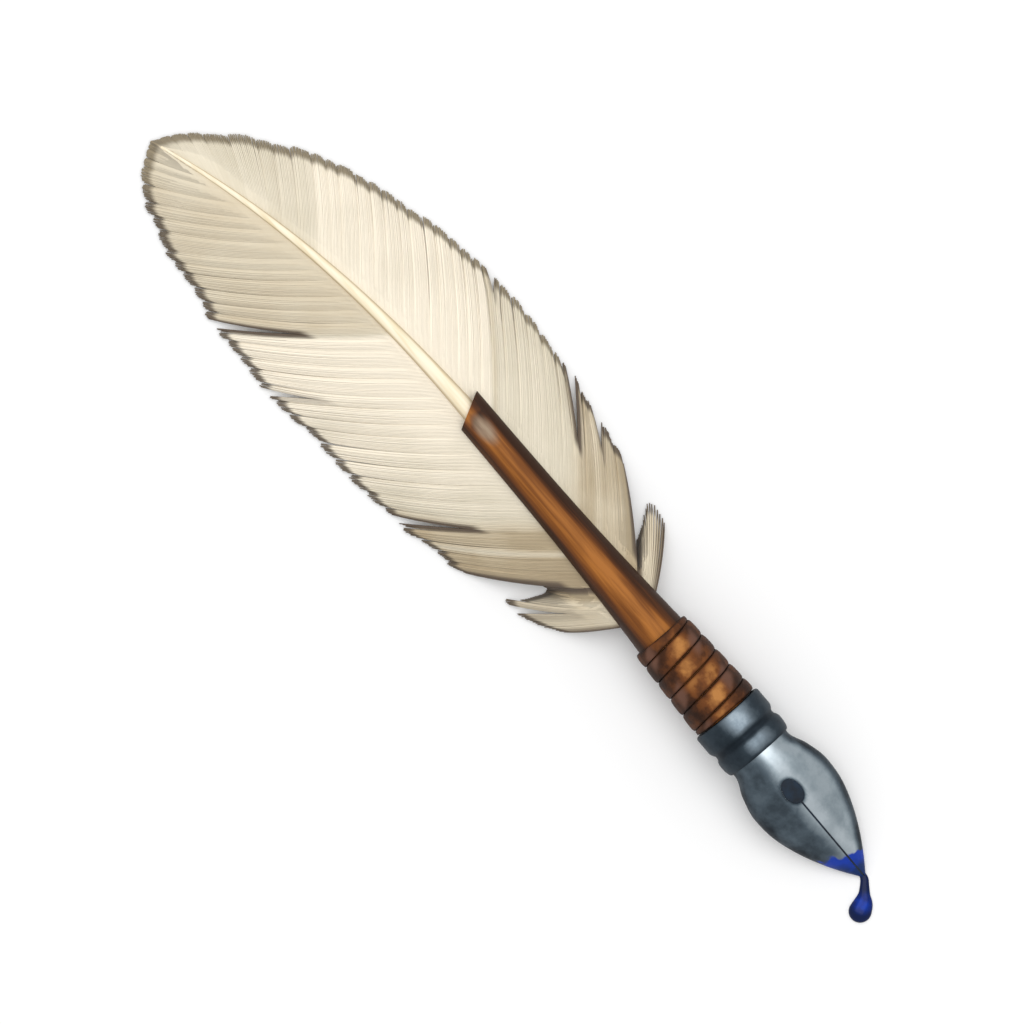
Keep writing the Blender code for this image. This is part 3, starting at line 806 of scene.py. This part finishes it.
# %% Turned, bored, sawn and cut
SHAFT_RADII = [
    (FERRULE_BACK + GAP, 7.6 * MM),
    *from_mm([(63, 6.95), (76, 6.3), (88, 5.65), (100, 5.1), (114, 4.7), (130, 4.5), (146, 4.4)], lengths=2),
]
SHAFT_SIDES = 72
SPIGOT_FRONT = 40 * MM
SPIGOT_RADIUS = 7.1 * MM
SCARF_START = 131 * MM
SCARF_EDGE_HEIGHT = 3.05 * MM
END_SKEW = math.radians(28)
KERF_START = 76.6 * MM
KERF_END = 160 * MM
KERF_HEIGHT = 1.5 * MM
ASIDE = 20 * MM  # half-width of the cutters, well past the wood
BORE_RADIUS = QUILL_RADIUS + GAP + 0.05 * MM


def shaft_radius(along):
    return smooth_table(SHAFT_RADII, 1, along)


def turned(name, profile, sides, finish, closed=False):
    """Turned piece on the pen's axis from a profile of (distance along, radius) pairs."""
    points = [(r, 0, along) for along, r in profile]
    edges = [(i, i + 1) for i in range(len(points) - 1)]
    if closed:
        edges.append((len(points) - 1, 0))
    mesh = bpy.data.meshes.new(name)
    mesh.from_pydata(points, edges, [])
    piece = add_piece(name, mesh, finish)
    modify(
        piece, "turn", "SCREW",
        steps=sides, render_steps=sides, use_merge_vertices=True, merge_threshold=0.00001)
    piece.rotation_euler = (0, math.pi / 2, 0)
    piece.location = (0, 0, AXIS_Z)
    return piece


def cutting_box(name, low, high, turn=Matrix.Identity(4)):
    """Box between two corners, turned about its first corner."""
    shape = bmesh.new()
    bmesh.ops.create_cube(shape, size=1)
    size = Vector(high) - Vector(low)
    for vert in shape.verts:
        vert.co = Vector(low) + turn @ ((vert.co + Vector((0.5, 0.5, 0.5))) * size)
    return add_shape(name, shape)


def cutting_cylinder(name, radius, low, length, turn, sides=48):
    shape = bmesh.new()
    bmesh.ops.create_cone(shape, cap_ends=True, segments=sides, radius1=radius, radius2=radius, depth=length)
    bmesh.ops.translate(shape, verts=shape.verts, vec=(0, 0, length / 2))
    bmesh.ops.transform(shape, matrix=Matrix.Translation(low) @ turn, verts=shape.verts)
    return add_shape(name, shape)


def cut(piece, *tools):
    """Cuts the tools from the piece one after another, and then removes them."""
    for tool in tools:
        modify(piece, tool.name, "BOOLEAN", operation="DIFFERENCE", object=tool, solver="EXACT")
    piece = settle(piece)
    for tool in tools:
        bpy.data.objects.remove(tool)
    return piece


rows = [(along, shaft_radius(along)) for along in np.linspace(SHAFT_RADII[-1][0], SHAFT_RADII[0][0], 90)]
profile = [(SHAFT_RADII[-1][0], 0)] + rows
profile += [(rows[-1][0], SPIGOT_RADIUS), (SPIGOT_FRONT, SPIGOT_RADIUS), (SPIGOT_FRONT, 0)]
shaft = turned("shaft", profile, SHAFT_SIDES, wood_finish)
lay_along = Matrix.Rotation(math.pi / 2, 4, "Y")
bore = cutting_cylinder("bore", BORE_RADIUS, (QUILL_BASE - GAP, 0, AXIS_Z), 90 * MM, lay_along)
kerf = cutting_box(
    "kerf",
    (KERF_START, -ASIDE, AXIS_Z - KERF_HEIGHT / 2),
    (KERF_END, ASIDE, AXIS_Z + KERF_HEIGHT / 2),
)
end_cut = cutting_box(
    "end cut",
    (SHAFT_END, -2 * ASIDE, -10 * MM),
    (SHAFT_END + 40 * MM, 2 * ASIDE, 30 * MM),
)
about_end = Matrix.Translation((SHAFT_END, 0, 0)) @ Matrix.Rotation(END_SKEW, 4, "Z")
end_cut.data.transform(about_end @ Matrix.Translation((-SHAFT_END, 0, 0)))
scarf_slope = math.atan2(SHAFT_RADII[-1][1] - SCARF_EDGE_HEIGHT, SHAFT_END - SCARF_START)
scarf = cutting_box(
    "scarf",
    (SCARF_START, -ASIDE, AXIS_Z + SHAFT_RADII[-1][1] + 0.1 * MM),
    (SCARF_START + 60 * MM, ASIDE, AXIS_Z + 40 * MM),
    Matrix.Rotation(scarf_slope, 4, "Y"),
)
shaft = cut(shaft, bore, kerf, end_cut, scarf)
# flank runs from 0 on the top line to 1 at the sides, and is 1 all over the underside; the finish paints shade
# by it.
store(shaft, "flank", lambda co: abs(co.y) / shaft_radius(co.x) if co.z > AXIS_Z else 1.0)
hand_over(shaft, "shaft", smooth=30)

# %% [markdown]
# ## Leather grip
#
# One thong is wound round the shaft, each turn hard against the last. A sheet whose points follow a helix
# gives it, with a rounded section and pointed ends, so the first and last turns fill out square.

# %% Leather finish
leather_finish, tree, shader = new_finish("thong leather", Roughness=0.6, Specular_IOR_Level=0.15)
pores = noise(tree, 2600, detail=3)
cloud = noise(tree, 230, detail=4, roughness=0.6)
crown = attribute(tree, "crown")
top_highlight = attribute(tree, "top_highlight")
# Painted shade: the leather is darker low on the thong's section, in the grooves between the turns.
shade = maths(tree, "MULTIPLY", stretch(tree, crown, 0.2, 1.0), 0.24)
shade = maths(tree, "ADD", shade, stretch(tree, cloud, 0.35, 0.65, -0.14, 0.18))
# Painted highlight: pale along the top of the shaft, on the crowns of the turns.
shade = maths(tree, "ADD", shade, maths(tree, "MULTIPLY", top_highlight, stretch(tree, crown, 0.5, 1.0)))
colour = ramp(
    tree, shade,
    (0.0, 34, 17, 7),
    (0.3, 64, 34, 14),
    (0.6, 110, 63, 27),
    (1.0, 176, 119, 62),
)
# Painted sheen: mauve grey on the flanks of the crowns.
mauve = maths(tree, "MULTIPLY", attribute(tree, "mauve"), stretch(tree, crown, 0.4, 0.9))
colour = blend_colour(tree, mauve, colour, linear(104, 72, 58))
wire(tree, shader, Base_Color=colour, Normal=bump(tree, maths(tree, "ADD", pores, cloud), 0.5, 0.12 * MM))

# %% Helical thong
THONG_WIDTH = 4.6 * MM
THONG_THICKNESS = 0.85 * MM
THONG_PITCH = 4.7 * MM
THONG_TURNS = 6
THONG_STEPS = 84
THONG_SECTION = 16
THONG_POINT_WIDTH = 0.43 * MM
THONG_TOP_SHARE = 0.8  # of the section's points, the rest run back along the underside
wrap_start = FERRULE_BACK + GAP
wrap_end = wrap_start + THONG_PITCH * (THONG_TURNS - 1)
first_turn = (THONG_PITCH - THONG_WIDTH + THONG_POINT_WIDTH) / THONG_PITCH
last_turn = THONG_TURNS - THONG_POINT_WIDTH / THONG_PITCH


def thong_section(share):
    """Side from -1 to 1 and height from 0 to 1, over the rounded top and back along the flat underside."""
    if share <= THONG_TOP_SHARE:
        turn = share / THONG_TOP_SHARE * math.pi
        side, height = -math.cos(turn), max(0.0, math.sin(turn))
        return math.copysign(abs(side) ** 0.6, side), height ** 0.55
    return 1 - 2 * (share - THONG_TOP_SHARE) / (1 - THONG_TOP_SHARE), 0.0


def thong_point(lengthwise, across):
    turn = first_turn + lengthwise * (last_turn - first_turn)
    side, height = thong_section(across)
    start = wrap_start + THONG_PITCH * (turn - 1)
    near = max(wrap_start, start)
    far = min(wrap_end, start + THONG_WIDTH)
    width = far - near
    along = (near + far + side * width) / 2
    thickness = THONG_THICKNESS * min(1, 0.4 + width / THONG_WIDTH)
    radius = shaft_radius(along) + GAP + height * thickness
    angle = turn * math.tau
    return Vector((along, radius * math.sin(angle), AXIS_Z - radius * math.cos(angle)))


def close_up(piece):
    """Fills the open ends of a sheet that was bent into a tube, and turns its faces outwards."""
    shape = bmesh.new()
    shape.from_mesh(piece.data)
    bmesh.ops.holes_fill(shape, edges=[edge for edge in shape.edges if edge.is_boundary], sides=0)
    bmesh.ops.recalc_face_normals(shape, faces=shape.faces)
    shape.to_mesh(piece.data)
    shape.free()


def thong_crown(co):
    """0 on the thong's underside to 1 on its crown."""
    return (math.hypot(co.y, co.z - AXIS_Z) - shaft_radius(co.x) - GAP) / THONG_THICKNESS


def thong_turn(co):
    """Which turn of the thong a point is on, and its angle from the top."""
    return (co.x - wrap_start) / THONG_PITCH, math.atan2(co.y, co.z - AXIS_Z)


def thong_highlight(co):
    """Painted highlight on the leather: most along the top, a little to the lamp's side, in stretches that
    differ from turn to turn.
    """
    turn, side = thong_turn(co)
    top = ease(1.25 - abs(side + 0.15) * 1.5)
    return top * (0.52 + 0.22 * math.sin(side * 5 + turn * 2.4)) - 0.04


def mauve_sheen(co):
    """Painted sheen: greyed stretches on the flanks, on one turn and then the next but one."""
    turn, side = thong_turn(co)
    return 0.85 * ease(1.2 - abs(abs(side) - 0.72) / 0.3) * ease(0.1 + 1.2 * math.sin(turn * 2.7 + side * 3))


wrap = sheet("wrap", THONG_TURNS * THONG_STEPS, THONG_SECTION, thong_point, leather_finish)
close_up(wrap)
store(wrap, "crown", thong_crown)
store(wrap, "top_highlight", thong_highlight)
store(wrap, "mauve", mauve_sheen)
hand_over(wrap, "wrap", smooth=60)

# %% [markdown]
# ## Ferrule
#
# The ferrule is a turned steel collar: a broad band at the back, a groove, and a front band rolled over the
# nib's shank. The steel is blued by age and darkest in the groove, so its colour follows the distance from
# the axis. A painted highlight runs along the top, a little to the lamp's side, and the sides are painted
# darker as shade. Fine rings of bump are left by the lathe.

# %% Steel finishes


def steel_finish(name, dark, pale, brush):
    """Aged steel. The stored value runs from 0 in tarnished hollows and rims to 1 on painted highlights and
    painted light.
    """
    finish, tree, shader = new_finish(name, Metallic=1.0)
    brushed = noise(tree, 1500, brush, detail=3)
    cloud = noise(tree, 190, detail=4, roughness=0.62)
    tarnish_and_light = maths(tree, "ADD", attribute(tree, "tarnish_and_light"), stretch(tree, cloud, 0.3, 0.7, -0.1, 0.1))
    colour = ramp(
        tree, tarnish_and_light,
        (0.0, 36, 43, 50),
        (0.3, *dark),
        (0.7, *pale),
        (1.0, 186, 196, 202),
    )
    roughness = stretch(tree, tarnish_and_light, 0.0, 1.0, 0.58, 0.36)
    wire(tree, shader, Base_Color=colour, Roughness=roughness, Normal=bump(tree, brushed, 0.25, 0.03 * MM))
    return finish, tree, shader, colour


ferrule_finish = steel_finish("ferrule steel", (56, 66, 74), (116, 128, 137), (1, 0.1, 0.1))[0]

# %% Turned collar
FERRULE_RADIUS = 9.25 * MM
FERRULE_BORE = 8.35 * MM
NIB_BACK = 46.5 * MM
FERRULE_SIDES = 108
HIGHLIGHT_SIDE = 1.5 * MM  # the painted highlight line lies this far to the right of the ridge
FERRULE_INSETS_MM = [
    (50.6, -0.55),
    (50.45, -0.2),
    (50.1, 0.0),
    (45.9, 0.0),
    (45.5, -0.08),
    (45.0, -0.32),
    (44.5, -0.68),
    (44.0, -0.76),
    (43.5, -0.68),
    (43.0, -0.35),
    (42.5, -0.15),
    (41.8, -0.08),
    (40.6, -0.12),
    (39.6, -0.28),
    (38.95, -0.5),
    (38.7, -0.75),
]
outside = [(along * MM, FERRULE_RADIUS + inset * MM) for along, inset in FERRULE_INSETS_MM]
inside = [
    (FERRULE_FRONT, FERRULE_BORE),
    (NIB_BACK + GAP, FERRULE_BORE),
    (NIB_BACK + GAP, SPIGOT_RADIUS + GAP),
    (FERRULE_BACK, SPIGOT_RADIUS + GAP),
]
ferrule = settle(turned("ferrule", outside + inside, FERRULE_SIDES, ferrule_finish, closed=True))


def ferrule_tarnish_and_light(co):
    """Bright on the bands, with a painted highlight along the top and painted shade down the sides; dark in the
    groove.
    """
    out = ease((math.hypot(co.y, co.z - AXIS_Z) - FERRULE_RADIUS + 0.8 * MM) / (0.8 * MM))
    top = ease(1.3 - abs(co.y + HIGHLIGHT_SIDE) / (4.5 * MM)) if co.z > AXIS_Z else 0.0
    return 0.05 + 0.16 * out + 0.44 * out * top


store(ferrule, "tarnish_and_light", ferrule_tarnish_and_light)
hand_over(ferrule, "ferrule", smooth=35)

# %% [markdown]
# ## Nib
#
# The nib is sheet steel: a half round shank that swells into shoulders, then narrows and bends down to the
# point. A formula places the sheet, Solidify gives it its gauge, ground thinner at the point, and two Boolean
# cuts make the breather hole and the slit. Ink has dried blue on the last few millimetres.

# %% Nib finish
nib_finish, tree, shader, colour = steel_finish("nib steel", (86, 98, 107), (147, 159, 166), (0.1, 1, 1))
blot = noise(tree, 260, detail=2)
inked = maths(tree, "ADD", attribute(tree, "to_point"), stretch(tree, blot, 0.3, 0.7, -1.1, 1.1))
stained = stretch(tree, inked, 6.3, 7.3, 1.0, 0.0)
blue = ramp(
    tree, stretch(tree, inked, 1.0, 7.0, smooth=False),
    (0.2, 2, 38, 92),
    (0.6, 0, 48, 152),
)
colour = blend_colour(tree, stained, colour, blue)
wire(tree, shader, Base_Color=colour, Metallic=maths(tree, "SUBTRACT", 1, stained))
shader.inputs["Specular IOR Level"].default_value = 0.25

# %% Sheet, gauge, hole and slit
NIB_SHANK_RADIUS = FERRULE_BORE - GAP
NIB_SHOULDER = 38 * MM
NIB_THICKNESS = 0.55 * MM
NIB_HALF_WIDTHS = [
    *from_mm([(0, 0.45), (4, 3.2), (9, 6.1), (15, 8.8), (21, 10.6), (27, 11.1), (33, 9.9)], lengths=2),
    (NIB_SHOULDER, NIB_SHANK_RADIUS),
    (NIB_BACK, NIB_SHANK_RADIUS),
]
NIB_POINT_TOP = 1.15 * MM
NIB_POINT_EDGE = 0.75 * MM
BREATHER_AT = 27 * MM
BREATHER_HALF_WIDTH = 2.3 * MM
BREATHER_HALF_LENGTH = 3.3 * MM
SLIT_WIDTH = 0.45 * MM


def nib_half_width(along):
    return smooth_table(NIB_HALF_WIDTHS, 1, along)


def nib_point(lengthwise, across):
    """Outer face of the nib: an arch whose crown and edges come down towards the point."""
    along = NIB_BACK * lengthwise
    run_out = max(0.0, (NIB_SHOULDER - along) / NIB_SHOULDER)
    crown_top = AXIS_Z + NIB_SHANK_RADIUS
    crown = crown_top - (crown_top - NIB_POINT_TOP) * run_out ** 1.6
    edge_top = AXIS_Z + 0.4 * MM
    edge = edge_top - (edge_top - NIB_POINT_EDGE) * (0.35 * run_out + 0.65 * ease(run_out))
    angle = (across - 0.5) * math.pi
    height = edge + (crown - edge) * math.cos(angle)
    return Vector((along, nib_half_width(along) * math.sin(angle), height))


NIB_LENGTHWISE = 93
NIB_ACROSS = 60
nib = sheet("nib", NIB_LENGTHWISE, NIB_ACROSS, nib_point, nib_finish)
grind = nib.vertex_groups.new(name="grind")
for vert in nib.data.vertices:
    grind.add([vert.index], min(1.0, nib_half_width(vert.co.x) / (4 * NIB_THICKNESS)), "REPLACE")
modify(nib, "gauge", "SOLIDIFY", thickness=NIB_THICKNESS, offset=-1, vertex_group=grind.name)
oval = Matrix.Diagonal((BREATHER_HALF_LENGTH / BREATHER_HALF_WIDTH, 1, 1, 1))
breather = cutting_cylinder("breather", BREATHER_HALF_WIDTH, (BREATHER_AT, 0, AXIS_Z), 20 * MM, oval)
slit = cutting_box("slit", (-5 * MM, -SLIT_WIDTH / 2, -5 * MM), (BREATHER_AT, SLIT_WIDTH / 2, 25 * MM))
nib = cut(nib, breather, slit)


def nib_tarnish_and_light(co):
    """Dark at the side edges and round the hole, with painted light on the lamp's side and a painted ridge
    highlight.
    """
    from_edge = (nib_half_width(co.x) - abs(co.y) - 0.5 * MM) / (2.2 * MM)
    away = math.hypot((co.x - BREATHER_AT) / BREATHER_HALF_LENGTH, co.y / BREATHER_HALF_WIDTH)
    # Painted light: lit_side makes the half towards the lamp lighter and the other half darker; ridge is a
    # painted highlight.
    lit_side = 0.42 - 0.24 * max(-1, min(1, (co.y - 1.5 * MM) / (2 * MM)))
    ridge = 0.2 * ease(1.2 - abs(co.y + HIGHLIGHT_SIDE) / (2.5 * MM))
    return 0.05 + (lit_side + ridge) * ease(from_edge) * ease((away - 0.9) * 2.5)


store(nib, "tarnish_and_light", nib_tarnish_and_light)
store(nib, "to_point", lambda co: (co.x - 0.4 * co.y) / MM)
hand_over(nib, "nib")

# %% [markdown]
# ## Ink
#
# A little ink has run off the point and ends in a drop. Surface tension rounds it, so it is a row of beads that
# grow towards the drop, fused into one skin, pressed flat and cut off at the surface. A wet gloss finishes it,
# deep navy at the rim and bluer in the middle of the drop.

# %% Ink finish
ink_finish, tree, shader = new_finish("wet ink", Roughness=0.12, Specular_IOR_Level=0.3, IOR=1.35)
swirl = noise(tree, 500, detail=3)
colour = ramp(
    tree, swirl,
    (0.35, 7, 36, 118),
    (0.65, 10, 56, 164),
)
middle = spot(tree, pen_place + Vector((-4.6 * MM, 4.4 * MM, 1.2 * MM)), (3.4 * MM, 3.4 * MM, 4 * MM))
wire(tree, shader, Base_Color=blend_colour(tree, middle, linear(5, 24, 66), colour))

# %% Run and drop: place along and across the pen and radius, in mm
INK_RUN_MM = [
    (0.9, 0.0, 0.75),
    (-0.6, 0.4, 1.0),
    (-2.0, 1.5, 1.15),
    (-3.6, 3.0, 1.5),
    (-5.0, 4.6, 2.35),
    (-5.8, 6.1, 2.75),
]
INK_HEIGHT = 0.55  # as a share of its width
BEADS = 60
ink_run = [(step, *row) for step, row in enumerate(from_mm(INK_RUN_MM, lengths=3))]
beads = bmesh.new()
for step in np.linspace(0, len(ink_run) - 1, BEADS):
    x, y, radius = (smooth_table(ink_run, column, step) for column in (1, 2, 3))
    bmesh.ops.create_icosphere(beads, subdivisions=4, radius=radius, matrix=Matrix.Translation((x, y, 0)))
ink = add_shape("ink_drip", beads, ink_finish)
ink.data.transform(Matrix.Diagonal((1, 1, INK_HEIGHT, 1)))
modify(ink, "fuse", "REMESH", mode="VOXEL", voxel_size=0.12 * MM)
modify(ink, "surface tension", "SMOOTH", factor=0.5, iterations=12)
ink = cut(ink, cutting_box("below surface", (-20 * MM, -20 * MM, -10 * MM), (20 * MM, 20 * MM, 0)))
hand_over(ink, "ink_drip", smooth=50)

# %% [markdown]
# ## Painted shade in the hole and the slit
#
# Through the breather hole and the slit one would see the shade inside the nib. A dark film, coloured like
# dried ink, bridges the hole and runs down the slit as painted shade. Both are thin sheets a little under the
# steel's outer face. They read nearly black and stand for no solid.

# %% Finish of the dark film, painted shade
shade_film_finish, tree, shader = new_finish("ink film", Roughness=0.3, IOR=1.35)
swirl = noise(tree, 380, detail=3)
colour = ramp(
    tree, swirl,
    (0.35, 20, 27, 36),
    (0.65, 24, 40, 56),
)
wire(tree, shader, Base_Color=colour)

# %% Film
FILM_DEPTH = 0.22 * MM
FILM_THICKNESS = 0.12 * MM
FILM_START = 0.5 * MM
FILM_FILL = 0.99  # of the hole; the rest keeps the film off the steel
SLIT_FILL = 0.98


def under_steel(along, aside):
    """Point a little under the nib's outer face, at this place along and across."""
    angle = math.asin(aside / nib_half_width(along))
    point = nib_point(along / NIB_BACK, 0.5 + angle / math.pi)
    return point - Vector((0, 0, FILM_DEPTH))


def film_in_hole(out, round_about):
    """Oval of rings about the middle of the hole."""
    turn = round_about * math.tau
    along = BREATHER_AT + FILM_FILL * BREATHER_HALF_LENGTH * out * math.cos(turn)
    return under_steel(along, FILM_FILL * BREATHER_HALF_WIDTH * out * math.sin(turn))


def film_in_slit(lengthwise, across):
    """Ribbon from near the point to the hole."""
    along = FILM_START + lengthwise * (BREATHER_AT - BREATHER_HALF_LENGTH - FILM_START)
    return under_steel(along, (across - 0.5) * SLIT_FILL * SLIT_WIDTH)


for name, along, across, place in (
        ("ink_film_hole", 8, 48, film_in_hole),
        ("ink_film_slit", 60, 2, film_in_slit)):
    film = sheet(name, along, across, place, shade_film_finish)
    modify(film, "gauge", "SOLIDIFY", thickness=FILM_THICKNESS, offset=0)
    hand_over(settle(film), None)

# %% [markdown]
# ## Floor and light
#
# A plain pale floor, a bright even sky and one large soft lamp, nearly overhead, keep the colours as they are
# and the shadows faint. The standard view shows a colour as the material gives it.

# %% Floor, lamp and sky
FLOOR_HALF_SIZE = 3.0
FLOOR_DROP = 0.05 * MM  # keeps the floor clear of the faces that rest on it
LAMP_PLACE = Vector((0.1, -0.25, 1.28))


def floor_point(lengthwise, across):
    return Vector((lengthwise - 0.5, across - 0.5, 0)) * 2 * FLOOR_HALF_SIZE - Vector((0, 0, FLOOR_DROP))


floor_finish, tree, shader = new_finish("floor", Roughness=0.9, Base_Color=(0.92, 0.92, 0.92, 1))
floor = sheet("floor", 1, 1, floor_point, floor_finish)

lamp_data = bpy.data.lights.new("lamp", "AREA")
lamp_data.size = 1.3
lamp_data.energy = 8.5
lamp = bpy.data.objects.new("lamp", lamp_data)
scene.collection.objects.link(lamp)
lamp.location = LAMP_PLACE
lamp.rotation_euler = (-LAMP_PLACE).to_track_quat("-Z", "Y").to_euler()

sky = bpy.data.worlds.new("sky")
sky.use_nodes = True
background = sky.node_tree.nodes["Background"]
background.inputs["Color"].default_value = (1, 1, 1, 1)
background.inputs["Strength"].default_value = 0.78
scene.world = sky
scene.view_settings.view_transform = "Standard"
print("lamp", lamp_data.energy, "W at", [round(value, 2) for value in LAMP_PLACE], "m")
